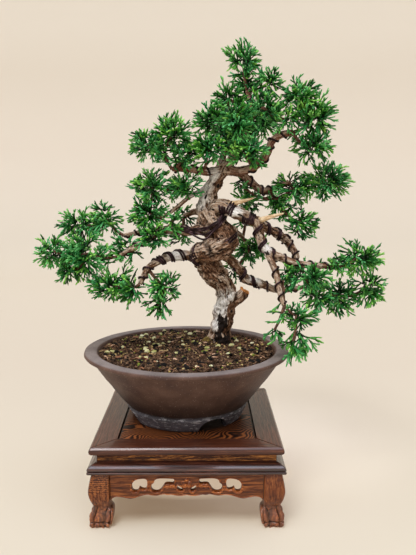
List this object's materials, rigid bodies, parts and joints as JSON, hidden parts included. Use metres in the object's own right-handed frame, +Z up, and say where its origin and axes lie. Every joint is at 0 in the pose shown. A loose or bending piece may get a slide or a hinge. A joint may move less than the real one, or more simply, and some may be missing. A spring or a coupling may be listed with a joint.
{
  "type": "bonsai tree in a pot",
  "caption": "Juniper bonsai with a twisting trunk, wired branches and foliage pads, in a round clay pot on a carved hardwood stand.",
  "frame": {"origin": "on the table under the middle of the whole object's box", "axes": "+Z up, -Y towards the viewer's side, the front of the tree, +X to the viewer's right"},
  "size_m": [0.4016, 0.236, 0.5141],
  "materials": {
    "juniper_foliage": "scaly green shoots",
    "training_wire": "dark brown anodised, satin",
    "bark": "weathered grey-brown bark",
    "stoneware": "matt unglazed",
    "soil": "damp granules",
    "drain_net": "moulded",
    "figured_wood": "oiled, strong figure",
    "carved_wood": "oiled, carved",
    "dark_wood": "oiled, satin"
  },
  "bodies": {
    "root": {"top_rail_front": "dark_wood", "top_rail_right": "dark_wood", "top_rail_back": "dark_wood", "top_rail_left": "dark_wood", "top_panel": "figured_wood", "waist_front": "figured_wood", "waist_right": "figured_wood", "waist_back": "figured_wood", "waist_left": "figured_wood", "moulding_front": "dark_wood", "moulding_right": "dark_wood", "moulding_back": "dark_wood", "moulding_left": "dark_wood", "leg_front_left": "carved_wood", "leg_front_right": "carved_wood", "leg_back_right": "carved_wood", "leg_back_left": "carved_wood", "apron_front": "carved_wood", "apron_right": "carved_wood", "apron_back": "carved_wood", "apron_left": "carved_wood", "pot": "stoneware", "drain_net": "drain_net", "soil": "soil", "trunk_and_branches": "bark", "wire_upper_left": "training_wire", "wire_far_left": "training_wire", "wire_lower_left": "training_wire", "wire_leader": "training_wire", "wire_crown_left": "training_wire", "wire_crown_right": "training_wire", "wire_middle_right": "training_wire", "wire_main_right": "training_wire", "wire_far_right": "training_wire", "wire_arched_right": "training_wire", "wire_hanging_right": "training_wire", "wire_lower_right": "training_wire", "foliage_apex": "juniper_foliage", "foliage_crown_left": "juniper_foliage", "foliage_crown_front": "juniper_foliage", "foliage_crown_low": "juniper_foliage", "foliage_crown_inner": "juniper_foliage", "foliage_upper_left": "juniper_foliage", "foliage_top_right": "juniper_foliage", "foliage_right_mid": "juniper_foliage", "foliage_right_low": "juniper_foliage", "foliage_left_thin": "juniper_foliage", "foliage_left_front": "juniper_foliage", "foliage_far_left_top": "juniper_foliage", "foliage_far_left": "juniper_foliage", "foliage_low_left": "juniper_foliage", "foliage_hanging_left": "juniper_foliage", "foliage_right_front": "juniper_foliage", "foliage_far_right_top": "juniper_foliage", "foliage_far_right_low": "juniper_foliage", "foliage_hanging_right": "juniper_foliage", "foliage_back_right": "juniper_foliage", "foliage_back_left": "juniper_foliage", "foliage_back_crown": "juniper_foliage"}
  },
  "joints": []
}
